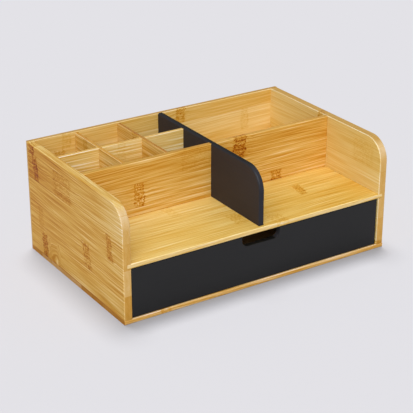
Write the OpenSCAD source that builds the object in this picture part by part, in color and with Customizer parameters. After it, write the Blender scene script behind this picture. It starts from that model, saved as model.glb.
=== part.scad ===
// Bamboo desk organizer: open compartments above, one wide drawer below.
// The origin is the centre of the base on the desk, +Z is up, and the front faces -Y.

/* [Overall size] */
// Width over both side panels
organizer_w = 330; // [290:1:380]
// Depth from the front edges to the rear face
organizer_d = 211; // [190:1:250]
// Height from the desk to the top edges
organizer_h = 128; // [118:1:160]

/* [Board thicknesses] */
// Thickness of each side panel
side_t = 9; // [7:0.5:12]
// Thickness of the bottom board
bottom_t = 5; // [4:0.5:8]
// Thickness of the back panel
back_t = 5; // [4:0.5:8]
// Thickness of the shelf over the drawer
shelf_t = 5; // [4:0.5:7]
// Thickness of the black centre divider
divider_t = 6.5; // [5.5:0.5:9]
// Thickness of the two partitions
partition_t = 6; // [4:0.5:8]
// Thickness of the thin cell dividers
cell_t = 4; // [3:0.5:6]

/* [Rounded corners and edges] */
// Radius of the front top corner of each side panel
side_corner_r = 25; // [10:1:48]
// Radius of the front top corner of the centre divider
divider_corner_r = 25; // [10:1:44]
// Radius of the two upright rear corners, on the back panel and the bottom board
rear_corner_r = 3; // [1:0.5:4]
// Rounding along the exposed edges of the thick boards
edge_r = 1.2; // [0.5:0.1:1.8]
// Rounding along the front and top edges of the centre divider
divider_edge_r = 2; // [0.5:0.1:2.5]
// Rounding along the top edges of the thin cell dividers
cell_edge_r = 0.8; // [0.3:0.1:1.2]

/* [Compartments] */
// Clear height of the drawer bay, from the bottom board to the shelf
bay_h = 56; // [48:1:62]
// Depth of the two open trays in front of the partitions
tray_d = 95.5; // [70:0.5:110]
// Distance from the front edges back to the centre divider
divider_setback = 4; // [1:0.5:20]
// Distance from the middle of the organizer to the centre divider, to the right
divider_offset = 2; // [-10:0.5:10]
// How far the partitions stay below the tops of the side panels
partition_drop = 0.7; // [0:0.1:10]
// How far the cell dividers stay below the tops of the side panels
cell_drop = 1.5; // [0:0.1:15]

/* [Joints between boards] */
// Depth of the groove in each side panel that holds the shelf
shelf_housing = 4.5; // [2:0.5:5]
// Depth of the grooves that hold the ends of the partitions
partition_housing = 1.5; // [0.5:0.25:2]
// Depth of the groove in the shelf that holds the centre divider
divider_housing = 1.5; // [0.5:0.25:2]
// Depth of the grooves that hold the ends of the cell dividers
cell_housing = 1; // [0.5:0.25:1.5]
// Clearance at each face of a groove or a cross lap
joint_fit = 0.1; // [0.05:0.05:0.2]

/* [Drawer] */
// Thickness of the black drawer front
drawer_front_t = 6; // [5:0.5:9]
// Thickness of the drawer's side and rear walls
drawer_wall_t = 5; // [4:0.5:8]
// Height of the drawer's side and rear walls
drawer_wall_h = 42; // [25:1:44]
// Thickness of the drawer's bottom panel
drawer_bottom_t = 3; // [2:0.5:4]
// Height of the bottom panel over the lower edges of the walls
drawer_bottom_lift = 3; // [2:0.5:6]
// Depth of the grooves that hold the bottom panel
drawer_groove = 2; // [1:0.25:2.5]
// Distance from the rear ends of the side walls to the rear wall
drawer_back_inset = 4; // [2:0.5:20]
// Depth of the grooves that hold the rear wall
drawer_back_housing = 2; // [1:0.25:2.5]
// How far the closed drawer front lies behind the front edges
drawer_recess = 1.5; // [0:0.5:6]
// Rounding along the edges of the drawer front
drawer_edge_r = 0.8; // [0.3:0.1:1.5]

/* [Drawer clearances] */
// Gap beside the drawer on each side
drawer_side_gap = 1; // [0.5:0.1:2]
// Gap between the drawer front and the shelf
drawer_top_gap = 1.2; // [0.5:0.1:2.5]
// Gap under the drawer, over the bottom board
drawer_floor_gap = 0.3; // [0.2:0.1:1]
// Gap behind the closed drawer, in front of the back panel
drawer_rear_gap = 0.3; // [0.2:0.1:3]

/* [Drawer dowels] */
// Diameter of the dowels that hold the drawer front
dowel_d = 3; // [2:0.25:3.25]
// Length of the dowels
dowel_l = 12; // [8:1:20]
// Depth of the dowels in the drawer front
dowel_sink = 4; // [2:0.25:4.5]
// Clearance round the dowels and at their ends
dowel_fit = 0.05; // [0.02:0.01:0.1]

/* [Finger notch] */
// Width of the notch in the drawer front
notch_w = 47.5; // [30:0.5:80]
// Depth of the notch below the top of the drawer front
notch_h = 11.5; // [8.5:0.5:16]
// Radius of the notch's lower corners
notch_r = 7; // [2:0.5:8]

/* [Screws] */
// Diameter of the screw shanks
screw_d = 3; // [2.5:0.1:3.5]
// Diameter of the countersunk heads
screw_head_d = 5.8; // [5:0.1:6.4]
// Length of the screws with their heads
screw_l = 18; // [12:1:25]
// How far the heads lie below the surface
screw_sink = 0.3; // [0.2:0.1:0.6]
// Distance of the outer base screws from the ends of a side panel
screw_inset = 24; // [15:1:35]
// Number of screws up through the bottom board into each side panel
base_screw_count = 3; // [2:1:5]
// Clearance round a shank and under a head
screw_fit = 0.05; // [0.02:0.01:0.1]

/* [Hidden] */
$fn = 48;

// Faces of the carcass
half_w = organizer_w / 2;
front_y = -organizer_d / 2;
rear_y = organizer_d / 2;
inner_x = half_w - side_t;
back_face_y = rear_y - back_t;
side_d = organizer_d - back_t;
side_h = organizer_h - bottom_t;
shelf_z = bottom_t + bay_h;
shelf_top_z = shelf_z + shelf_t;

// Faces in the upper compartments
divider_left_x = divider_offset - divider_t / 2;
divider_right_x = divider_offset + divider_t / 2;
divider_y = front_y + divider_setback;
partition_y = front_y + tray_d;
partition_back_y = partition_y + partition_t;
partition_h = organizer_h - partition_drop - shelf_top_z;
cell_h = organizer_h - cell_drop - shelf_top_z;
lap_h = cell_h / 2;
// One cell is the left half less two column dividers, shared by three columns
cell_w = (divider_left_x + inner_x - 2 * cell_t) / 3;
left_column_x = -inner_x + cell_w;
right_column_x = left_column_x + cell_t + cell_w;
row_y = (partition_back_y + back_face_y - cell_t) / 2;

// Faces of the drawer
drawer_half_w = inner_x - drawer_side_gap;
drawer_z = bottom_t + drawer_floor_gap;
drawer_y = front_y + drawer_recess;
drawer_wall_y = drawer_y + drawer_front_t;
drawer_rear_y = back_face_y - drawer_rear_gap;
drawer_front_h = bay_h - drawer_floor_gap - drawer_top_gap;
drawer_inner_x = drawer_half_w - drawer_wall_t;
drawer_back_y = drawer_rear_y - drawer_back_inset - drawer_wall_t;
drawer_floor_z = drawer_z + drawer_bottom_lift;
drawer_wall_top_z = drawer_z + drawer_wall_h;

// Dowels sit on the middle line of each side wall, a quarter from each end of its free height
dowel_x = drawer_half_w - drawer_wall_t / 2;
dowel_free_z = drawer_floor_z + drawer_bottom_t;
dowel_z = [for (share = [1 / 4, 3 / 4]) dowel_free_z + share * (drawer_wall_top_z - dowel_free_z)];

// Screws sit on the middle line of each side panel
screw_x = half_w - side_t / 2;
base_screw_y = front_y + screw_inset;
base_screw_step = (side_d - 2 * screw_inset) / (base_screw_count - 1);
back_screw_z = [bottom_t + bay_h / 2, (shelf_top_z + organizer_h) / 2];
// A 90 degree countersunk head is as high as it stands out beyond the shank
screw_head_h = (screw_head_d - screw_d) / 2;
screw_point_l = 3;
screw_point_d = 0.6;
cross_l = screw_head_d * 0.55;
cross_w = 0.8;
cross_depth = 0.9;

// Length by which a cut runs past a face
cut = 1;

bamboo = [0.86, 0.68, 0.38];
caramel_bamboo = [0.78, 0.56, 0.26];
pale_bamboo = [0.90, 0.74, 0.45];
painted_black = [0.18, 0.18, 0.19];
plywood = [0.80, 0.67, 0.47];
beech = [0.82, 0.66, 0.46];
zinc = [0.72, 0.72, 0.74];

// Cross-section of a board from its edge inwards: the edge at x = depth is rounded on both faces
module edge_section(t, depth, r) {
  square([depth - r, t]);
  translate([0, r]) square([depth, t - 2 * r]);
  for (y = [r, t - r]) translate([depth - r, y]) circle(r);
}

// Board along +X that stands on its lower edge, with its top edge rounded
module standing_board(length, t, h, r) {
  translate([length, 0, 0]) rotate([0, -90, 0]) linear_extrude(length) edge_section(t, h, r);
}

// Board that lies flat, centred on X, with its front edge at y = 0 rounded
module lying_board(length, depth, t, r) {
  translate([length / 2, depth, 0]) rotate([90, 0, -90]) linear_extrude(length)
    edge_section(t, depth, r);
}

// Upright panel with its outline in the YZ plane, a rounded front top corner, and rounded
// front and top edges. One cross-section runs up the front, round the corner and to the rear.
module corner_panel(t, depth, h, corner_r, r) {
  rotate([90, 0, 90]) {
    translate([corner_r, 0, 0]) cube([depth - corner_r, h - corner_r, t]);
    translate([corner_r, 0, 0]) rotate([90, 0, 180]) linear_extrude(h - corner_r)
      edge_section(t, corner_r, r);
    translate([corner_r, h - corner_r, 0]) rotate([0, 0, 90]) rotate_extrude(angle = 90)
      edge_section(t, corner_r, r);
    translate([corner_r, h - corner_r, 0]) rotate([90, 0, 90]) linear_extrude(depth - corner_r)
      edge_section(t, corner_r, r);
  }
}

// Trims its children to the plan of the organizer, which has its two rear corners rounded
module rounded_rear_corners() {
  corner_y = rear_y - rear_corner_r;
  intersection() {
    children();
    translate([0, 0, -cut]) linear_extrude(organizer_h + 2 * cut) {
      translate([-half_w, front_y - cut]) square([organizer_w, corner_y - front_y + cut]);
      translate([rear_corner_r - half_w, front_y - cut])
        square([organizer_w - 2 * rear_corner_r, organizer_d + cut]);
      for (side = [-1, 1]) translate([side * (half_w - rear_corner_r), corner_y]) circle(rear_corner_r);
    }
  }
}

// Box from corner a to corner b, for grooves and plain boards
module box(a, b) {
  translate(a) cube(b - a);
}

// Groove round a board that runs from corner a to corner b, with the joint clearance all round
module groove(a, b) {
  box(a - joint_fit * [1, 1, 1], b + joint_fit * [1, 1, 1]);
}

// Countersunk screw along +Z, with the face of its head at z = 0
module screw() {
  difference() {
    union() {
      cylinder(h = screw_head_h, d1 = screw_head_d, d2 = screw_d);
      translate([0, 0, screw_head_h])
        cylinder(h = screw_l - screw_head_h - screw_point_l, d = screw_d);
      translate([0, 0, screw_l - screw_point_l])
        cylinder(h = screw_point_l, d1 = screw_d, d2 = screw_point_d);
    }
    for (turn = [0, 90]) rotate(turn)
      translate([-cross_l / 2, -cross_w / 2, -cut]) cube([cross_l, cross_w, cut + cross_depth]);
  }
}

// Hole that a screw seats in, from outside the surface down to the screw's point
module screw_hole() {
  hole_d = screw_d + 2 * screw_fit;
  mouth_d = screw_head_d + 2 * screw_fit;
  translate([0, 0, -screw_sink - cut]) cylinder(h = screw_sink + cut, d = mouth_d);
  cylinder(h = screw_head_h, d1 = mouth_d, d2 = hole_d);
  translate([0, 0, screw_head_h]) cylinder(h = screw_l - screw_head_h + screw_fit, d = hole_d);
}

// Places its children at the base screws of the left side panel, pointing up
module at_left_base_screws() {
  for (i = [0 : base_screw_count - 1])
    translate([-screw_x, base_screw_y + i * base_screw_step, screw_sink]) children();
}

// Places its children at the back screws of the left side panel, pointing forward
module at_left_back_screws() {
  for (z = back_screw_z) translate([-screw_x, rear_y - screw_sink, z]) rotate([90, 0, 0]) children();
}

// Places its children on the left as they are and mirrored on the right
module both_sides() {
  children();
  mirror([1, 0, 0]) children();
}

// Outline of the partition that is seen between the faces at x = left and x = right
module partition_groove(left, right) {
  groove([left - partition_housing, partition_y, shelf_top_z],
         [right + partition_housing, partition_back_y, shelf_top_z + partition_h]);
}

// Outline of the row divider in the left half
module row_groove() {
  groove([-inner_x - cell_housing, row_y, shelf_top_z],
         [divider_left_x + cell_housing, row_y + cell_t, shelf_top_z + cell_h]);
}

// Outlines of the two column dividers
module column_grooves() {
  for (x = [left_column_x, right_column_x])
    groove([x, partition_back_y - cell_housing, shelf_top_z],
           [x + cell_t, back_face_y + cell_housing, shelf_top_z + cell_h]);
}

// Left side panel without the groove for the row divider
module side_panel() {
  difference() {
    translate([-half_w, front_y, bottom_t])
      corner_panel(side_t, side_d, side_h, side_corner_r, edge_r);
    groove([-inner_x - shelf_housing, front_y - cut, shelf_z],
           [-inner_x + cut, back_face_y + cut, shelf_top_z]);
    partition_groove(-inner_x, divider_left_x);
    at_left_base_screws() screw_hole();
    at_left_back_screws() screw_hole();
  }
}

// Rounded panel of the centre divider, standing in its groove in the shelf
module divider_panel() {
  translate([divider_left_x, divider_y, shelf_top_z - divider_housing])
    corner_panel(divider_t, back_face_y - divider_y, organizer_h - shelf_top_z + divider_housing,
                 divider_corner_r, divider_edge_r);
}

// Plain partition that is seen between the faces at x = left and x = right
module partition_board(left, right) {
  translate([left - partition_housing, partition_y, shelf_top_z])
    standing_board(right - left + 2 * partition_housing, partition_t, partition_h, edge_r);
}

// Column divider whose left face is at x, with the lower half of its cross lap cut away
module column_divider(x) {
  difference() {
    translate([x + cell_t, partition_back_y - cell_housing, shelf_top_z]) rotate(90)
      standing_board(back_face_y - partition_back_y + 2 * cell_housing, cell_t, cell_h, cell_edge_r);
    box([x - cut, row_y - joint_fit, shelf_top_z - cut],
        [x + cell_t + cut, row_y + cell_t + joint_fit, shelf_top_z + lap_h + joint_fit]);
  }
}

// Places its children at the dowels of the left side wall, pointing to the rear from their front ends
module at_left_dowels() {
  for (z = dowel_z) translate([-dowel_x, drawer_wall_y - dowel_sink, z]) rotate([-90, 0, 0]) children();
}

// Hole that a dowel seats in
module dowel_hole() {
  translate([0, 0, -dowel_fit]) cylinder(h = dowel_l + 2 * dowel_fit, d = dowel_d + 2 * dowel_fit);
}

// Left wall of the drawer with its grooves and dowel holes
module drawer_wall() {
  difference() {
    box([-drawer_half_w, drawer_wall_y, drawer_z], [-drawer_inner_x, drawer_rear_y, drawer_wall_top_z]);
    drawer_bottom_groove();
    groove([-drawer_inner_x - drawer_back_housing, drawer_back_y, drawer_z - cut],
           [-drawer_inner_x + cut, drawer_back_y + drawer_wall_t, drawer_wall_top_z + cut]);
    at_left_dowels() dowel_hole();
  }
}

// Outline of the drawer's bottom panel, for the grooves in the walls and the front
module drawer_bottom_groove() {
  groove([-drawer_inner_x - drawer_groove, drawer_wall_y - drawer_groove, drawer_floor_z],
         [drawer_inner_x + drawer_groove, drawer_back_y + drawer_groove,
          drawer_floor_z + drawer_bottom_t]);
}

// Cross-section of the drawer front, with its visible face at x = 0 rounded at both ends
module front_section(length) {
  translate([drawer_edge_r, 0]) square([drawer_front_t - drawer_edge_r, length]);
  translate([0, drawer_edge_r]) square([drawer_front_t, length - 2 * drawer_edge_r]);
  for (y = [drawer_edge_r, length - drawer_edge_r])
    translate([drawer_edge_r, y]) circle(drawer_edge_r);
}

// Notch outline, open at the top, with its lower edge at z = 0
module notch_outline() {
  translate([-notch_w / 2, notch_r]) square([notch_w, notch_h - notch_r + cut]);
  translate([notch_r - notch_w / 2, 0]) square([notch_w - 2 * notch_r, notch_h]);
  for (side = [-1, 1]) translate([side * (notch_w / 2 - notch_r), notch_r]) circle(notch_r);
}

module bottom_board() {
  color(bamboo) difference() {
    rounded_rear_corners() translate([0, front_y, 0])
      lying_board(organizer_w, organizer_d, bottom_t, edge_r);
    both_sides() at_left_base_screws() screw_hole();
  }
}

module left_side() {
  color(bamboo) difference() {
    side_panel();
    row_groove();
  }
}

module right_side() {
  color(bamboo) mirror([1, 0, 0]) side_panel();
}

module back_panel() {
  color(bamboo) difference() {
    rounded_rear_corners() translate([-half_w, back_face_y, bottom_t])
      standing_board(organizer_w, back_t, side_h, edge_r);
    column_grooves();
    both_sides() at_left_back_screws() screw_hole();
  }
}

module shelf() {
  color(pale_bamboo) difference() {
    translate([0, front_y, shelf_z])
      lying_board(2 * (inner_x + shelf_housing), side_d, shelf_t, edge_r);
    groove([divider_left_x, divider_y, shelf_top_z - divider_housing],
           [divider_right_x, back_face_y, shelf_top_z + cut]);
  }
}

module centre_divider() {
  color(painted_black) difference() {
    divider_panel();
    partition_groove(-inner_x, divider_left_x);
    partition_groove(divider_right_x, inner_x);
    row_groove();
  }
}

module left_partition() {
  color(caramel_bamboo) difference() {
    partition_board(-inner_x, divider_left_x);
    column_grooves();
  }
}

module right_partition() {
  color(caramel_bamboo) partition_board(divider_right_x, inner_x);
}

module left_column_divider() {
  color(bamboo) column_divider(left_column_x);
}

module right_column_divider() {
  color(bamboo) column_divider(right_column_x);
}

module row_divider() {
  color(pale_bamboo) difference() {
    translate([-inner_x - cell_housing, row_y, shelf_top_z])
      standing_board(divider_left_x + inner_x + 2 * cell_housing, cell_t, cell_h, cell_edge_r);
    for (x = [left_column_x, right_column_x])
      box([x - joint_fit, row_y - cut, shelf_top_z + lap_h - joint_fit],
          [x + cell_t + joint_fit, row_y + cell_t + cut, organizer_h + cut]);
  }
}

module drawer_front() {
  front_w = 2 * drawer_half_w;
  color(painted_black) difference() {
    // The rounded edges of the two profiles meet in mitres
    translate([0, drawer_y, drawer_z]) intersection() {
      rotate([90, 0, 90]) linear_extrude(front_w, center = true) front_section(drawer_front_h);
      linear_extrude(drawer_front_h) translate([drawer_half_w, 0]) rotate(90) front_section(front_w);
    }
    translate([0, drawer_wall_y + cut, drawer_z + drawer_front_h - notch_h]) rotate([90, 0, 0])
      linear_extrude(drawer_front_t + 2 * cut) notch_outline();
    drawer_bottom_groove();
    both_sides() at_left_dowels() dowel_hole();
  }
}

module drawer_left_side() {
  color(pale_bamboo) drawer_wall();
}

module drawer_right_side() {
  color(pale_bamboo) mirror([1, 0, 0]) drawer_wall();
}

module drawer_back() {
  color(pale_bamboo) difference() {
    box([-drawer_inner_x - drawer_back_housing, drawer_back_y, drawer_z],
        [drawer_inner_x + drawer_back_housing, drawer_back_y + drawer_wall_t, drawer_wall_top_z]);
    drawer_bottom_groove();
  }
}

module drawer_bottom() {
  color(plywood)
    box([-drawer_inner_x - drawer_groove, drawer_wall_y - drawer_groove, drawer_floor_z],
        [drawer_inner_x + drawer_groove, drawer_back_y + drawer_groove,
         drawer_floor_z + drawer_bottom_t]);
}

module drawer_dowels() {
  color(beech) both_sides() at_left_dowels() cylinder(h = dowel_l, d = dowel_d);
}

module base_screws() {
  color(zinc) both_sides() at_left_base_screws() screw();
}

module back_screws() {
  color(zinc) both_sides() at_left_back_screws() screw();
}

bottom_board();
left_side();
right_side();
back_panel();
shelf();
centre_divider();
left_partition();
right_partition();
left_column_divider();
right_column_divider();
row_divider();
drawer_front();
drawer_left_side();
drawer_right_side();
drawer_back();
drawer_bottom();
drawer_dowels();
base_screws();
back_screws();
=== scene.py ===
# %% [markdown]
# # A bamboo desk organizer with one black drawer
#
# The organizer is joinery: thin bamboo boards, grooved and screwed together, and a drawer with a
# painted front. The boards come from the CAD frame, because their joints and edge rounding are
# already exact there. What Blender adds is what a joiner would notice with the box in hand: the
# strips that each board is glued up from, the knuckles where a cane had its nodes, the fibres,
# the lacquer, and the brushed black paint.

# %% Load the boards
import math
import random

import bpy
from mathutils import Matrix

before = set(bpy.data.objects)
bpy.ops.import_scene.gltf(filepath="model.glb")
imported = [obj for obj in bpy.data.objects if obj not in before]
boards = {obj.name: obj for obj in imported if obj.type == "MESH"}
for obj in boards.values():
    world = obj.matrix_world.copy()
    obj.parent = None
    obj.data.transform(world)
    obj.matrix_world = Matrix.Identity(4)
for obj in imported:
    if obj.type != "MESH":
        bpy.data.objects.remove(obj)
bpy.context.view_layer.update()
print("boards and fittings:", len(boards))

# %% [markdown]
# ## Where the photographer stood
#
# The place was found by matching the long edges of the boards with the picture: with the lens
# axis through the middle of the picture and no lens shift, they land within a pixel of where
# they are seen, and the outer corners within 2 or 3. A longer lens further away would flatten the
# box, a shorter one would spread its front.

# %% Camera
def standpoint():
    """The camera, placed by the edge measurements, with its lens in millimetres."""
    turn = math.radians(32.844)
    tilt = math.radians(24.381)
    picture_width = 413
    lens_in_pixels = 1309.2
    sensor_width = 36.0
    bpy.ops.object.camera_add(location=(-0.71326, -1.1041, 0.64535))
    camera = bpy.context.object
    camera.name = "photo_camera"
    camera.rotation_euler = (math.radians(90) - tilt, 0.0, -turn)
    camera.data.sensor_width = sensor_width
    camera.data.lens = sensor_width * lens_in_pixels / picture_width
    camera.data.clip_start = 0.05
    camera.data.clip_end = 60.0
    bpy.context.scene.camera = camera
    return camera


camera = standpoint()
print("lens in mm:", round(camera.data.lens, 1))

# %% [markdown]
# ## Arithmetic on node sockets
#
# A finish such as bamboo is mostly arithmetic: how far is this point from a knuckle, how dark
# is this fibre. Nodes could be placed one by one, but then the sum is hard to read. Here one
# small class wraps a socket, so that a sum on wires adds the Math nodes by itself, and every
# other node comes from its one method, `node`.

# %% A wire
class Wire:
    """One socket of a node tree, which adds Math nodes when it is used in a sum."""

    def __init__(self, tree, socket=None):
        self.tree = tree
        self.socket = socket

    def node(self, kind, settings=None, sockets=None, output=0):
        """Adds a node: its settings first, then the values or links of its sockets."""
        made = self.tree.nodes.new(kind)
        for name, value in (settings or {}).items():
            if name == "stops":
                set_stops(made.color_ramp, value)
            elif name == "interpolation":
                made.color_ramp.interpolation = value
            else:
                setattr(made, name, value)
        for name, value in (sockets or {}).items():
            if isinstance(value, Wire):
                self.tree.links.new(value.socket, made.inputs[name])
            else:
                made.inputs[name].default_value = value
        return Wire(self.tree, made.outputs[output] if made.outputs else None)

    def math(self, operation, first, second=0.0):
        """One Math node on one or two values or wires."""
        return self.node("ShaderNodeMath", {"operation": operation}, {0: first, 1: second})

    def __add__(self, other):
        return self.math("ADD", self, other)

    __radd__ = __add__

    def __mul__(self, other):
        return self.math("MULTIPLY", self, other)

    __rmul__ = __mul__

    def __sub__(self, other):
        return self.math("SUBTRACT", self, other)

    def __rsub__(self, other):
        return self.math("SUBTRACT", other, self)

    def __truediv__(self, other):
        return self.math("DIVIDE", self, other)

    def __pow__(self, power):
        return self.math("POWER", self, power)

    def __abs__(self):
        return self.math("ABSOLUTE", self)

    def floor(self):
        return self.math("FLOOR", self)

    def root(self):
        return self.math("SQRT", self)

    def least(self, other):
        return self.math("MINIMUM", self, other)

    def most(self, other):
        return self.math("MAXIMUM", self, other)

    def step(self, low, high):
        """0 below low, 1 above high, and a smooth rise between."""
        return self.node(
            "ShaderNodeMapRange",
            {"interpolation_type": "SMOOTHSTEP"},
            {0: self, 1: low, 2: high, 3: 0.0, 4: 1.0},
        )

    def parts(self):
        """The three parts of a vector."""
        split = self.tree.nodes.new("ShaderNodeSeparateXYZ")
        self.tree.links.new(self.socket, split.inputs[0])
        return [Wire(self.tree, split.outputs[i]) for i in range(3)]

    def vector(self, x=0.0, y=0.0, z=0.0):
        """Three values as one vector."""
        return self.node("ShaderNodeCombineXYZ", {}, {0: x, 1: y, 2: z})

    def blend(self, first, second):
        """The first colour where this wire is 0, the second where it is 1."""
        return self.node(
            "ShaderNodeMix",
            {"data_type": "RGBA", "clamp_factor": True},
            {0: self, 6: first, 7: second},
            output=2,
        )

    def relief(self, strength=0.3, depth=0.0001):
        """A bump with this wire as its height, and depth in metres."""
        return self.node("ShaderNodeBump", {},
                         {"Strength": strength, "Distance": depth, "Height": self})

    def noise(self, vector, scale=1.0, detail=2.0, roughness=0.5, distortion=0.0, flat=False):
        """Soft random values about 0.5, one lump for each 1/scale of the vector."""
        return self.node(
            "ShaderNodeTexNoise",
            {"noise_dimensions": "2D" if flat else "3D"},
            {
                "Vector": vector,
                "Scale": scale,
                "Detail": detail,
                "Roughness": roughness,
                "Distortion": distortion,
            },
        )


def set_stops(ramp, stops):
    """Replaces a new ramp's two stops by a list of (place, colour)."""
    while len(ramp.elements) > 1:
        ramp.elements.remove(ramp.elements[-1])
    ramp.elements[0].position = stops[0][0]
    ramp.elements[0].color = stops[0][1]
    for place, colour in stops[1:]:
        ramp.elements.new(place).color = colour


def shade(red, green, blue):
    """A colour as a screen gives it, 0 to 255, turned into the light values that nodes use."""
    light = []
    for value in (red, green, blue):
        share = value / 255
        if share <= 0.04045:
            light.append(share / 12.92)
        else:
            light.append(((share + 0.055) / 1.055) ** 2.4)
    return (*light, 1.0)


def new_finish(name):
    """An empty material, its shader, and a first wire to build from."""
    finish = bpy.data.materials.new(name)
    finish.use_nodes = True
    shader = finish.node_tree.nodes["Principled BSDF"]
    return finish, shader, Wire(finish.node_tree)


def feed(shader, wires):
    """Links each wire to the socket of the shader that has its name."""
    for socket, wire in wires.items():
        wire.tree.links.new(wire.socket, shader.inputs[socket])


def eased_edge(facing):
    """0 on a flat face and on a flat edge, 1 half way round the rounding between them."""
    return (facing * (1.0 - facing * facing).most(0.0).root()) * 2.0


print("pale bamboo as light values:", [round(v, 3) for v in shade(228, 182, 103)])

# %% [markdown]
# ## Studio: a pale table, and light that reaches into the cells
#
# The picture has one flat pale grey around the box, and a narrow soft shadow that hugs its
# foot. The insides of the cells are nearly as bright as the outside, so the main light came
# from the viewer's side, high up. Such a lamp would throw the shadow behind the box, where the
# picture has none, because the picture was cut out and given its shadow afterwards. Cycles can
# do the same with light linking: two wide suns light everything but the table, and a third
# lights the table alone. Suns don't fade with distance, so the table keeps one tone up to the
# horizon. All light adds up to 1 on a face that looks up, so that a colour renders about as
# written. The table is painted half as pale and lit twice as much, mostly by its own sun, which
# comes to the same grey, but takes half of the warm light that the bamboo throws on it. Where
# the table is seen, a share of the plain grey is mixed in, which lifts its shadow.

# %% Sky
BACKDROP = shade(227, 226, 231)
SKY_SHARE = 0.38


def even_sky():
    """A share of white light from all round, and the backdrop's grey wherever it is seen."""
    world = bpy.data.worlds.new("studio_sky")
    bpy.context.scene.world = world
    world.use_nodes = True
    tree = world.node_tree
    tree.nodes.clear()
    start = Wire(tree)
    seen = start.node("ShaderNodeLightPath", output="Is Camera Ray")
    light = start.node("ShaderNodeBackground", {},
                       {"Color": (1.0, 1.0, 1.0, 1.0), "Strength": SKY_SHARE})
    drop = start.node("ShaderNodeBackground", {}, {"Color": BACKDROP, "Strength": 1.0})
    mixed = start.node("ShaderNodeMixShader", {}, {0: seen, 1: light, 2: drop})
    start.node("ShaderNodeOutputWorld", {}, {"Surface": mixed})
    return world


even_sky()
print("sky share:", SKY_SHARE)

# %% Table top
SHADOW_LIFT = 0.38
TABLE_DEPTH = 0.5


def table_top():
    """A matt plane, wide enough that no view from above its level sees its edge."""
    bpy.ops.mesh.primitive_plane_add(size=24.0, location=(0.0, 0.0, 0.0))
    table = bpy.context.object
    table.name = "table_top"
    finish = bpy.data.materials.new("table_matt")
    finish.use_nodes = True
    finish.node_tree.nodes.clear()
    start = Wire(finish.node_tree)
    lift = start.node("ShaderNodeLightPath", output="Is Camera Ray") * SHADOW_LIFT
    paint = (*[value * TABLE_DEPTH for value in BACKDROP[:3]], 1.0)
    matt = start.node("ShaderNodeBsdfDiffuse", {}, {"Color": paint})
    glow = start.node("ShaderNodeEmission", {}, {"Color": BACKDROP, "Strength": 1.0})
    mixed = start.node("ShaderNodeMixShader", {}, {0: lift, 1: matt, 2: glow})
    start.node("ShaderNodeOutputMaterial", {}, {"Surface": mixed})
    table.data.materials.append(finish)
    return table


table = table_top()
print("table top is", [round(v, 1) for v in table.dimensions])

# %% Suns
def wide_sun(name, tilt, turn, width, share, lit):
    """A soft lamp that doesn't fade. Turn 0 shines from the front, and tilt is from overhead.

    The share is its light on a face that looks up, and lit says whether it lights only the
    table (INCLUDE) or all but the table (EXCLUDE).
    """
    bpy.ops.object.light_add(type="SUN", location=(0.0, 0.0, 2.5))
    sun = bpy.context.object
    sun.name = name
    sun.rotation_euler = (math.radians(tilt), 0.0, math.radians(turn))
    sun.data.angle = math.radians(width)
    sun.data.energy = share * math.pi / math.cos(math.radians(tilt))
    group = bpy.data.collections.new(name + "_lights")
    group.objects.link(table)
    group.collection_objects[0].light_linking.link_state = lit
    sun.light_linking.receiver_collection = group
    return sun


wide_sun("key_sun", tilt=44, turn=-30, width=60, share=0.54, lit="EXCLUDE")
wide_sun("back_sun", tilt=50, turn=160, width=60, share=0.08, lit="EXCLUDE")
wide_sun("table_sun", tilt=14, turn=162, width=24, share=1.0 / TABLE_DEPTH - SKY_SHARE,
         lit="INCLUDE")
print("suns: 3")

# %% [markdown]
# ## Bamboo, glued up from strips
#
# A bamboo board isn't sawn from a trunk. Canes are split into strips, planed square, and glued
# side by side, about 27 mm to a strip here. So each strip has its own tone, its own fibres and
# its own knuckle, and stops dead at the glue line. A picture of wood stretched over the boards
# would miss that, and it would show a face on every edge. Instead the pattern is solid: it
# reads the place of each point in millimetres, and a card for each board says how wide the
# strips are and where the knuckles sit, read off the real one.
#
# The first helper turns the board to the grain: along the fibres, across the strips, and
# through the thickness.

# %% Places on a board
MILLIMETRE = 1000.0


def board_places(start, grain, across):
    """Where a point is along, across and through the board in mm, and its face directions."""
    through = ({"X", "Y", "Z"} - {grain, across}).pop()
    place = start.node("ShaderNodeTexCoord", output="Object")
    facing = start.node("ShaderNodeTexCoord", output="Normal")
    measured = start.node(
        "ShaderNodeVectorMath", {"operation": "SCALE"}, {0: place, "Scale": MILLIMETRE}
    )
    spot = dict(zip("XYZ", measured.parts()))
    face = dict(zip("XYZ", facing.parts()))
    order = (grain, across, through)
    return [spot[axis] for axis in order], [abs(face[axis]) for axis in order]


print("axes of a side panel:", "along Y, across Z, through X")

# %% [markdown]
# A card lists the strips from the low side up. Each strip has its tone (1 is the board's own
# colour, less is browner), the tone of its cut end, and up to two knuckles: place along the
# grain, half width, strength, share of light flecks, lean, and how much the fibres beside it
# form pointed arches. Strips that nobody has looked at closely get a knuckle from a seeded
# draw, because real strips have one about every 250 mm. The card goes into a few colour ramps
# with hard steps, one colour for each strip, which is the cheapest table a shader has.

# %% Strip cards
# A colour holds values from 0 to 1, so places and widths are stored as shares of these
REACH = 400.0
WIDEST = 50.0


def knuckle(place, half=5.5, strength=0.8, flecks=0.4, lean=0.0, arch=0.0):
    """One knuckle of a strip, measured in millimetres along the grain."""
    return (place, half, strength, flecks, lean, arch)


def strip(tone=1.0, end=1.0, knuckles=(), fall=0.0):
    """One strip: its tone, that of its cut end, its knuckles, and its change for 100 mm."""
    return {"tone": tone, "end": end, "knuckles": list(knuckles), "fall": fall}


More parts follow.
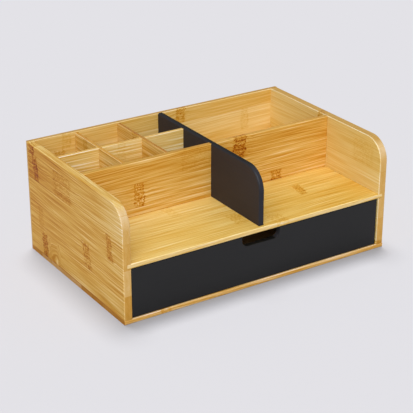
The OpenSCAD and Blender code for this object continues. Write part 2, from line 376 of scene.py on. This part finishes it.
def drawn_strips(seed, count, low, high):
    """Strips with tones and knuckles drawn from a seed, for boards seen in less detail."""
    draw = random.Random(seed)
    made = []
    for _ in range(count):
        place = draw.uniform(low, high)
        first = knuckle(place, draw.uniform(4, 7), draw.uniform(0.4, 0.9),
                        draw.uniform(0.2, 0.7), draw.uniform(-5, 5), draw.choice((0, 0, 0.6)))
        made.append(strip(draw.uniform(0.94, 1.06), draw.uniform(0.8, 1.0), [first]))
    return made


def read_card(start, index, strips, seed):
    """Everything the card says about the strip that a point is in, as wires."""
    draw = random.Random(seed)
    count = len(strips)
    where = (index + 0.5) / float(count)
    columns = {"looks": [], "lay": [], "first": [], "first_more": [], "second": [],
               "second_more": []}
    for each in strips:
        columns["looks"].append((each["tone"] / 2, each["end"] / 2, draw.random()))
        # Two spare draws fill the colour, so each strip takes three from the seed
        columns["lay"].append((each["fall"] + 0.5, draw.random(), draw.random()))
        rows = each["knuckles"] + [knuckle(0.0, 5.0, 0.0)] * 2
        for column, row in (("first", rows[0]), ("second", rows[1])):
            columns[column].append((row[0] / REACH + 0.5, row[1] / WIDEST, row[2]))
            columns[column + "_more"].append((row[3], row[4] / REACH + 0.5, row[5]))
    read = {}
    for name, colours in columns.items():
        stops = [(i / count, (*colour, 1.0)) for i, colour in enumerate(colours)]
        ramp = start.node("ShaderNodeValToRGB",
                          {"stops": stops, "interpolation": "CONSTANT"}, {0: where})
        read[name] = ramp.parts()
    return read


print("a drawn strip:", drawn_strips(1, 1, -80, 80)[0]["knuckles"][0][:2])

# %% [markdown]
# A knuckle is where a cane had its node. Planed flat it is a warm brown bar across the strip,
# about a centimetre wide, full of small dark and pale crumbs, with a ragged darker rim on both
# sides. The disturbed fibres spread as a thin mottle beyond it, and all of it stops at the glue
# lines of the strip.

# %% Knuckles
# How far a knuckle's outline wanders, and how far its arches start beyond it, in mm
RAGGED = 9.0
ARCH_GAP = 4.0


def knuckle_marks(start, spot, within, row, more, slide):
    """How much a point belongs to a knuckle: its core, its rims and the zone it disturbs."""
    along, across = spot[:2]
    strength, flecks, arched = row[2], more[0], more[2]
    place = (row[0] - 0.5) * REACH
    half = row[1] * WIDEST
    lean = (more[1] - 0.5) * REACH
    wander = start.noise(start.vector(along * 0.12, across * 0.25, slide * 90.0), detail=3.0)
    off = along - place - lean * (within - 0.5) - (wander - 0.5) * RAGGED
    away = abs(off)
    core = (1.0 - away.step(half * 0.7, half * 1.2)) * strength
    rims = (1.0 - abs(away - half * 0.85).step(0.2, 1.5)) * strength
    zone = (1.0 - away.step(half * 0.8, half * 3.6)) * strength
    beside = abs(off + half * 2.9 + ARCH_GAP)
    arch = (1.0 - beside.step(half, half * 2.7)) * arched
    return {"core": core, "rims": rims, "zone": zone, "flecks": flecks, "arch": arch,
            "off": off}


def strongest(marks, name):
    """The larger value of the two knuckles of a strip."""
    return marks[0][name].most(marks[1][name])


print("knuckle measures: core, rims, zone, arch")

# %% [markdown]
# Fibres are noise that is pulled long: short steps across, long steps along. Three layers do
# it: faint wide bands of tone, the fibre bundles that carry the look at arm's length, a bit over
# a millimetre each, and hair-thin vessel lines for close up. The first two are flat noise, as
# a slice through solid noise has wide clouds in it, which planed bamboo doesn't show. Planed
# cane is nearly straight, so each strip only slides and tilts its own pattern a little. Near a
# knuckle the fibres swing round it, and where the card says so they close into the pointed
# arches that a plane leaves when it cuts across layers.

# %% Fibres
def fibre_level(start, spot, within, width, marks, slide):
    """The height of the fibre that passes through a point, which noise then reads."""
    along, across = spot[:2]
    curl = start.noise(start.vector(along * 0.07, across * 0.12, slide * 50.0), detail=2.0)
    wander = start.noise(start.vector(along * 0.008, across * 0.03, slide * 31.0))
    swing = (curl - 0.5) * (strongest(marks, "zone") * 7.0 + 0.5) + (wander - 0.5) * 4.0
    straight = across + swing + along * ((slide - 0.5) * 0.05)
    rise = (within - 0.5) * width
    arched = marks[0]["off"] * 0.25 + rise * rise * 0.05 + swing
    return straight + (arched - straight) * marks[0]["arch"]


def fibre_layers(start, along, level, through, slide):
    """Bands, bundles and vessel lines of a strip, each about 0.5 on average."""
    slid = along + slide * 700.0
    height = level + through * 0.8
    bands = start.noise(
        start.vector(slid * 0.007, height * 0.12 + slide * 40.0), detail=1.0, flat=True
    )
    bundles = start.noise(
        start.vector(slid * 0.015, height * 0.78 + slide * 60.0), detail=0.0, flat=True
    )
    vessels = start.noise(
        start.vector(slid * 0.045, level * 3.1, through * 1.2 + slide * 20.0), detail=2.0
    )
    return bands, bundles, vessels


print("fibre layers: bands, bundles, vessels")

# %% [markdown]
# The colour follows from one number. Thicker or older cane soaks up more light, and blue goes
# first, then green. So a tone of 0.8 keeps 0.84 of the red, 0.68 of the green and 0.33 of the
# blue, which gives the right orange browns without choosing any by eye. Cut ends are different:
# there the vessels are seen from their ends, as dots.

# %% Bamboo
SOAK = (0.8, 1.75, 5.0)
DARKEST = 0.2
BAND_SHARE = 0.20
BUNDLE_SHARE = 0.68
VESSEL_SHARE = 0.58
# Half width of a glue line in mm, where it is full and where it is gone
GLUE_FULL = 0.05
GLUE_GONE = 0.45
# Height in mm of the painted shade just above the foot of a board that stands on another, full
# and gone
FOOT_SHADE_FULL = 0.3
FOOT_SHADE_GONE = 1.3
LACQUER_ROUGHNESS = 0.42
LACQUER_LEVEL = 0.10


def cane_colour(start, tone, mid):
    """The board's own colour, soaked to a tone."""
    tone = tone.most(DARKEST)
    channels = [tone ** power * value for power, value in zip(SOAK, mid[:3])]
    return start.node("ShaderNodeCombineColor", {}, dict(enumerate(channels)))


def knuckle_tone(start, spot, marks):
    """How much darker a knuckle makes a point, crumbs and flecks included."""
    crumbs = start.noise(start.vector(spot[0] * 0.42, spot[1] * 0.5, spot[2] * 0.3),
                         detail=3.0, roughness=0.6, distortion=0.8)
    dark = crumbs.step(0.48, 0.64)
    pale = 1.0 - crumbs.step(0.34, 0.47)
    core, rims, zone = [strongest(marks, part) for part in ("core", "rims", "zone")]
    flecks = (marks[0]["flecks"] * marks[0]["core"]).most(marks[1]["flecks"] * marks[1]["core"])
    darker = core * (0.18 + 0.27 * dark) + rims * (0.10 + 0.15 * dark) + zone * dark * 0.07
    return darker - flecks * pale * 0.42, core * dark


def bamboo(name, grain, across, first, width, strips, mid, seed=1, streak=1.0,
           end_mid=None, edge_mid=None, foot=None):
    """A laminated bamboo finish for one board.

    The grain runs along one axis and the strips lie side by side along another, from first on
    and width apart, in mm. The colours are the board's own, that of its cut ends and that of
    its long edges. A board that stands on another gets a band of painted shade just above its
    foot, as in the crease between the boards.
    """
    finish, shader, start = new_finish(name)
    spot, face = board_places(start, grain, across)
    strip_count = (spot[1] - first) / width
    index = strip_count.floor().most(0.0).least(len(strips) - 1.0)
    within = strip_count - index
    card = read_card(start, index, strips, seed)
    own_tone, end_tone, slide = card["looks"]
    marks = [knuckle_marks(start, spot, within, card[which], card[which + "_more"], slide)
             for which in ("first", "second")]
    level = fibre_level(start, spot, within, width, marks, slide)
    bands, bundles, vessels = fibre_layers(start, spot[0], level, spot[2], slide)
    knot, pits = knuckle_tone(start, spot, marks)

    grain_tone = (bands - 0.5) * BAND_SHARE + (bundles - 0.5) * BUNDLE_SHARE
    grain_tone = grain_tone + (vessels - 0.5) * VESSEL_SHARE
    to_line = within.least(1.0 - within) * width
    glue = (1.0 - to_line.step(GLUE_FULL, GLUE_GONE)) * (bands - 0.3).most(0.0)
    eased = eased_edge(face[2])
    side_edge = face[1].step(0.5, 0.9)
    rounded = face[0] * face[1] * 2.0
    # A strip's fall tilts its tone along the grain; on the left panel it is painted shade, darker
    # towards the rear
    fall = (card["lay"][0] - 0.5) * spot[0] * 0.01
    # eased * 0.25 makes the rounded edges paler: a painted highlight where they would catch the
    # light
    tone = own_tone * 2.0 + fall + grain_tone * streak - knot - glue * 0.6 + eased * 0.25
    if foot is not None:
        # Painted shade: the board is darkened just above its foot, where it meets the board below
        tone = tone - (1.0 - (spot[1] - foot).step(FOOT_SHADE_FULL, FOOT_SHADE_GONE)) * 0.3
    body = cane_colour(start, tone, mid)
    if edge_mid:
        edge_tone = 1.0 + grain_tone * (streak * 0.8) - knot * 0.7
        body = side_edge.blend(body, cane_colour(start, edge_tone, edge_mid))

    pores = start.node(
        "ShaderNodeTexVoronoi", {"feature": "F1", "voronoi_dimensions": "2D"},
        {"Vector": start.vector(spot[1], spot[2]), "Scale": 1.25}, output="Distance",
    )
    dots = 1.0 - pores.step(0.12, 0.4)
    blotch = start.noise(start.vector(spot[1] * 0.11, spot[2] * 0.3, slide * 7.0), detail=2.0)
    end_tone = end_tone * 2.0 + (blotch - 0.5) * 0.22 - dots * 0.10 - glue * 0.4
    # The eased edges and the rounded corners of the cut ends are painted paler: a painted
    # highlight
    end_tone = end_tone + eased * 0.05 + rounded * 0.2
    end_body = cane_colour(start, end_tone, end_mid or mid)
    cut = face[0].step(0.35, 0.95)
    colour = cut.blend(body, end_body)

    height = vessels * 0.3 + bundles * 0.5 - glue * 1.5 - pits * 0.6
    height = height - cut * dots * 0.8
    dull = LACQUER_ROUGHNESS + (vessels - 0.5) * 0.2 + pits * 0.12 + cut * 0.12 - eased * 0.05
    feed(shader, {"Base Color": colour, "Roughness": dull, "Normal": height.relief(),
                  "Coat Weight": rounded * 0.9})
    shader.inputs["Specular IOR Level"].default_value = LACQUER_LEVEL
    shader.inputs["Coat Roughness"].default_value = 0.35
    return finish


def wear(node, finish):
    """Gives a board of the frame its finish."""
    for slot in boards[node].material_slots:
        slot.material = finish


def from_light(red, green, blue):
    """A colour from its light values, for the edges, which were worked out in those."""
    return (red, green, blue, 1.0)


HONEY = shade(213, 163, 71)
PALE_HONEY = shade(233, 196, 108)
CREAM = shade(235, 202, 121)
CARAMEL = shade(218, 171, 86)
END_HONEY = shade(206, 165, 96)
END_BROWN = shade(196, 143, 72)
print("own colours: honey, pale honey, cream, caramel, and two for cut ends")

# %% [markdown]
# ## The side panels
#
# Their fibres run front to back and their strips lie above each other. The left panel faces
# the viewer, so its card is read off strip by strip: a dark knuckle low at the rear, two
# speckled ones in the middle, one near the front edge and one that reaches the rear top corner.

# %% Side panels
# The last number of each strip darkens it towards the rear of the panel: painted shade, for light
# that weakens away from the front
left_card = [
    strip(1.01, 0.86, [knuckle(68.5, 6.0, 1.1, 0.1, 1.0, 0.6)], -0.07),
    strip(0.98, 1.04, [knuckle(-28.5, 7.0, 0.8, 0.9, 6.0), knuckle(76.0, 5.0, 0.3, 0.2)], -0.07),
    strip(0.98, 0.94, [knuckle(-77.5, 5.0, 0.9, 0.2, 3.0)], -0.08),
    strip(0.99, 1.00, [knuckle(83.5, 5.5, 1.0, 0.2, 4.0), knuckle(22.0, 20.0, 0.45, 0.6)], -0.23),
    strip(0.98, 1.00, [knuckle(91.0, 5.5, 1.0, 0.2, 2.0)], -0.13),
]
right_card = [
    strip(0.98, 0.94, [knuckle(-30.0, 6.0, 0.7, 0.3)]),
    strip(1.03, 1.00, [knuckle(52.0, 6.0, 0.8, 0.5, 4.0)]),
    strip(1.02, 0.97, [knuckle(-4.0, 5.0, 0.2, 0.5)], -0.03),
    strip(1.01, 1.00, [knuckle(-75.0, 18.0, 0.15, 0.8)], 0.04),
    strip(1.02, 1.00, [knuckle(3.0, 4.5, 0.7, 0.3)], 0.04),
]
# The right panel's paler CREAM against the left panel's HONEY is partly the boards' own
# difference and partly painted light: it stands in for more light inside the tray than on the
# outer face
wear("left_side", bamboo("bamboo_left_side", "Y", "Z", 3.0, 28.6, left_card, HONEY, 11,
                         end_mid=END_HONEY, edge_mid=from_light(0.70, 0.44, 0.105), foot=5.0))
wear("right_side", bamboo("bamboo_right_side", "Y", "Z", 9.0, 27.5, right_card, CREAM, 12,
                          0.3, end_mid=END_HONEY, edge_mid=from_light(0.54, 0.31, 0.065),
                          foot=5.0))
print("strips in the side panels:", len(left_card), len(right_card))

# %% [markdown]
# ## The long boards
#
# The back panel, the shelf and the bottom board run from side to side. The cut ends of the
# bottom board show under the left panel as a dark brown line, because end fibres drink the
# lacquer.

# %% Back panel, shelf and bottom board
back_card = [
    strip(1.00, 1.0, [knuckle(-90.0, 6.0, 0.8, 0.4)]),
    strip(1.02, 1.0, [knuckle(60.0, 5.5, 0.7, 0.5, 3.0)]),
    strip(1.00, 1.0, [knuckle(-20.0, 6.0, 0.6, 0.3)]),
    strip(1.02, 1.0, [knuckle(-127.0, 6.0, 0.5, 0.7), knuckle(118.0, 5.0, 0.2, 0.5)], 0.02),
    strip(0.94, 1.0, [knuckle(29.0, 5.5, 0.7, 0.4, 2.0), knuckle(-118.0, 5.0, 0.25, 0.4)], -0.01),
]
shelf_card = [
    strip(0.95, 1.0, [knuckle(27.0, 8.0, 0.3, 0.9)], -0.03),
    strip(0.94, 1.0, [knuckle(-10.0, 7.0, 0.35, 0.6)], -0.04),
    strip(0.99, 1.0, [knuckle(91.0, 4.0, 0.7, 0.4, 5.0)], -0.04),
    strip(1.025, 1.0, [knuckle(-60.0, 5.0, 0.2, 0.5)], -0.05),
] + drawn_strips(21, 5, -140.0, 140.0)
bottom_card = [strip(1.0, tone, [knuckle(place, 5.5, 0.7, 0.4)]) for tone, place in
               ((0.86, -118.0), (0.90, 60.0), (0.84, -20.0), (0.88, 120.0), (1.14, -70.0),
                (1.10, 15.0), (1.15, 88.0), (1.08, -131.0), (0.86, 40.0), (0.88, -45.0))]
wear("back_panel", bamboo("bamboo_back_panel", "X", "Z", 4.5, 26.5, back_card,
                          shade(231, 194, 116), 13, 0.4, end_mid=END_HONEY,
                          edge_mid=from_light(0.50, 0.28, 0.06)))
# The shelf's front edge is bluer than its face, partly its own colour and partly a painted
# highlight
wear("shelf", bamboo("bamboo_shelf", "X", "Y", -110.5, 25.0, shelf_card, PALE_HONEY, 14,
                     0.6, edge_mid=from_light(0.73, 0.51, 0.195)))
wear("bottom_board", bamboo("bamboo_bottom_board", "X", "Y", -105.5, 23.0, bottom_card,
                            END_HONEY, 15, end_mid=END_BROWN,
                            edge_mid=from_light(0.72, 0.41, 0.11)))
print("strips in the long boards:", len(back_card), len(shelf_card), len(bottom_card))

# %% [markdown]
# ## Partitions and thin dividers
#
# The two partitions are cut from darker, caramel strips with strong streaks. The thin dividers
# of the small cells are pale.

# %% Partitions and dividers
left_partition_card = [
    strip(1.04, 1.0, []),
    strip(1.00, 1.0, [knuckle(-91.0, 6.0, 0.8, 1.0)]),
    strip(0.90, 1.0, [knuckle(-20.0, 20.0, 0.2, 0.2)]),
]
right_partition_card = [
    strip(1.02, 1.0, [knuckle(86.0, 6.5, 0.9, 0.5)]),
    strip(0.99, 1.0, [knuckle(6.0, 6.0, 0.2, 0.8)]),
    strip(0.89, 1.0, [knuckle(36.0, 8.0, 1.15, 0.4, 2.0)]),
]
wear("left_partition", bamboo("bamboo_left_partition", "X", "Z", 48.3, 27.0,
                              left_partition_card, CARAMEL, 16, 0.85,
                              edge_mid=from_light(0.546, 0.28, 0.035), foot=66.0))
wear("right_partition", bamboo("bamboo_right_partition", "X", "Z", 51.5, 26.0,
                               right_partition_card, CARAMEL, 17, 0.85,
                               edge_mid=from_light(0.593, 0.31, 0.045), foot=66.0))

left_column_card = [
    strip(1.0, 1.0, []),
    strip(1.0, 1.0, [knuckle(17.0, 4.0, 0.6, 0.3)]),
    strip(1.0, 1.0, [knuckle(78.0, 4.0, 0.5, 0.3)]),
]
right_column_card = [
    strip(1.0, 1.0, []),
    strip(1.0, 1.0, [knuckle(60.0, 6.0, 1.2, 0.2)]),
    strip(1.0, 1.0, [knuckle(62.0, 5.0, 0.5, 0.2)]),
]
row_card = [
    strip(1.0, 1.0, []),
    strip(0.99, 1.0, [knuckle(-152.0, 5.0, 0.4, 0.4), knuckle(-20.0, 5.0, 0.2, 0.4)]),
    strip(0.99, 1.0, [knuckle(-80.0, 5.0, 0.15, 0.4)]),
]
wear("left_column_divider", bamboo("bamboo_left_column", "Y", "Z", 52.0, 26.0,
                                   left_column_card, shade(234, 193, 105), 18, 0.8,
                                   edge_mid=from_light(0.58, 0.28, 0.03), foot=66.0))
wear("right_column_divider", bamboo("bamboo_right_column", "Y", "Z", 52.0, 26.0,
                                    right_column_card, shade(227, 183, 94), 19, 0.8,
                                    edge_mid=from_light(0.46, 0.20, 0.015), foot=66.0))
wear("row_divider", bamboo("bamboo_row_divider", "X", "Z", 50.0, 27.0, row_card,
                           shade(236, 204, 129), 20, 0.7, edge_mid=from_light(0.70, 0.434, 0.107),
                           foot=66.0))
print("thin dividers: 3")

# %% [markdown]
# ## Black paint
#
# The drawer front and the centre divider are painted. Paint on a board is never quite flat:
# the roller leaves a fine orange peel, the fibres under it print through, dust settles in it,
# and the eased edges are a little thinner and catch the light, which is a painted highlight
# here. The other edges carry painted light too: the upright ones a paler, bluer painted
# reflection, the top ones a darker painted shade, and the divider's face is warmed by a
# painted reflection of the bamboo around it. The front has a faint sheen, and the divider
# hardly any.

# %% Painted boards
# Edge colours of the paint: the upright edges paler and bluer, a painted reflection, the top
# edges darker, painted shade
UPRIGHT_EDGE_REFLECTION = from_light(0.025, 0.025, 0.032)
TOP_EDGE_SHADE = from_light(0.006, 0.006, 0.005)
THIN_PAINT_AND_HIGHLIGHT = from_light(0.03, 0.03, 0.032)
DUST = from_light(0.2, 0.2, 0.2)


def black_paint(name, grain, across, face_tone, sheen, roughness):
    """Black paint over a board whose fibres still print through a little."""
    finish, shader, start = new_finish(name)
    spot, face = board_places(start, grain, across)
    along, over, through = spot
    print_through = start.noise(
        start.vector(along * 0.015, over * 0.8, through * 0.3), detail=3.0, roughness=0.6
    )
    peel = start.noise(start.vector(along * 0.9, over * 0.9, through * 0.9), detail=2.0)
    cloud = start.noise(start.vector(along * 0.012, over * 0.02, through * 0.01), detail=2.0)
    dust = start.node(
        "ShaderNodeTexVoronoi", {"feature": "F1", "voronoi_dimensions": "3D"},
        {"Vector": start.vector(along, over, through), "Scale": 0.05}, output="Distance",
    )
    speck = 1.0 - dust.step(0.008, 0.014)
    tone = cloud * 0.7 + print_through * 0.5 - 0.1
    broad = face[2].step(0.75, 0.98)
    # The edges are coloured by the way they face: upright ones get a painted reflection, top ones
    # painted shade
    lit_and_shaded_edge = face[1].step(0.88, 1.0).blend(UPRIGHT_EDGE_REFLECTION, TOP_EDGE_SHADE)
    darker = from_light(*[value * 0.75 for value in face_tone])
    paler = from_light(*[value * 1.25 for value in face_tone])
    colour = broad.blend(lit_and_shaded_edge, tone.blend(darker, paler))
    # Eased edges blend a quarter towards a paler black: partly thin paint, partly a painted
    # highlight
    colour = (eased_edge(face[2]) * 0.25).blend(colour, THIN_PAINT_AND_HIGHLIGHT)
    colour = (speck * 0.4).blend(colour, DUST)
    height = peel * 0.5 + print_through * 0.6 + speck * 1.5
    dull = roughness + (cloud - 0.5) * 0.12 + (print_through - 0.5) * 0.08
    feed(shader, {"Base Color": colour, "Roughness": dull, "Normal": height.relief(0.25),
                  "Coat Weight": face[0] * face[1]})
    shader.inputs["Specular IOR Level"].default_value = sheen
    shader.inputs["Coat Roughness"].default_value = 0.3
    return finish


wear("drawer_front", black_paint("black_paint_front", "X", "Z", (0.016, 0.016, 0.017),
                                 sheen=0.20, roughness=0.60))
# The divider's face tone is warmer and paler than the front's: a painted reflection of the bamboo
# around it
wear("centre_divider", black_paint("black_paint_divider", "Y", "Z", (0.046, 0.038, 0.038),
                                   sheen=0.06, roughness=0.50))
print("painted boards: 2")

# %% [markdown]
# ## Inside the drawer
#
# The drawer's walls are plain pale bamboo, its bottom is a thin sheet of plywood in grooves.
# They show when the drawer is open.

# %% Drawer box
def drawer_wall(node, grain, seed):
    """A low wall of the drawer, not quite two strips high."""
    card = drawn_strips(seed, 3, -120.0, 120.0)
    wear(node, bamboo("bamboo_" + node, grain, "Z", -2.0, 27.0, card, PALE_HONEY, seed, 0.8))


drawer_wall("drawer_left_side", "Y", 31)
drawer_wall("drawer_right_side", "Y", 32)
drawer_wall("drawer_back", "X", 33)


PLIES_PER_MM = 2.1


def plywood():
    """Rotary-cut face veneer: wide wandering rings, fine pores, no strips."""
    finish, shader, start = new_finish("plywood_bottom")
    (along, over, through), face = board_places(start, "X", "Y")
    drift = start.noise(start.vector(along * 0.006, over * 0.02, 2.0), detail=2.0)
    rings = start.noise(
        start.vector(along * 0.004, over * 0.05 + drift * 3.0, 5.0), scale=2.0, detail=3.0
    )
    pores = start.noise(start.vector(along * 0.12, over * 3.2, 8.0), detail=2.0)
    tone = (rings - 0.5) * 1.6 + (pores - 0.5) * 0.9 + 0.5
    colour = tone.blend(shade(206, 168, 118), shade(172, 130, 82))
    plies = (through * PLIES_PER_MM).floor()
    layer = (plies * 0.5 - (plies * 0.5).floor()) * 2.0
    cut = (1.0 - face[2]).step(0.4, 0.7)
    colour = (cut * layer * 0.5).blend(colour, shade(150, 108, 66))
    dull = 0.55 + (rings - 0.5) * 0.15
    feed(shader, {"Base Color": colour, "Roughness": dull, "Normal": pores.relief()})
    return finish


wear("drawer_bottom", plywood())
print("drawer box finished")

# %% Dowels and screws
def beech():
    """Turned beech: pink-brown with the short flecks of its rays."""
    finish, shader, start = new_finish("beech_dowel")
    (along, over, through), _ = board_places(start, "Y", "Z")
    fibres = start.noise(start.vector(over * 2.2, through * 2.2, along * 0.12), detail=3.0)
    flecks = start.noise(start.vector(over * 4.0, through * 4.0, along * 0.7)).step(0.62, 0.7)
    colour = fibres.blend(shade(222, 184, 140), shade(190, 142, 98))
    colour = (flecks * 0.5).blend(colour, shade(150, 100, 62))
    dull = 0.6 + (fibres - 0.5) * 0.2
    feed(shader, {"Base Color": colour, "Roughness": dull, "Normal": fibres.relief()})
    return finish


def zinc_steel():
    """Plated steel: a cool grey with fine turning marks and duller patches."""
    finish, shader, start = new_finish("zinc_steel")
    place = start.node("ShaderNodeTexCoord", output="Object")
    patches = start.noise(place, scale=900.0, detail=3.0)
    marks = start.noise(place, scale=4200.0, detail=2.0)
    colour = patches.blend(shade(186, 188, 190), shade(214, 214, 210))
    dull = 0.24 + patches * 0.22
    feed(shader, {"Base Color": colour, "Roughness": dull,
                  "Normal": marks.relief(0.2, 0.00003)})
    shader.inputs["Metallic"].default_value = 1.0
    return finish


wear("drawer_dowels", beech())
steel = zinc_steel()
wear("base_screws", steel)
wear("back_screws", steel)
print("fittings finished: dowels, base screws, back screws")

# %% [markdown]
#
# Standard view keeps colours as written.

# %% Finish
bpy.context.scene.view_settings.view_transform = "Standard"
bpy.context.view_layer.update()
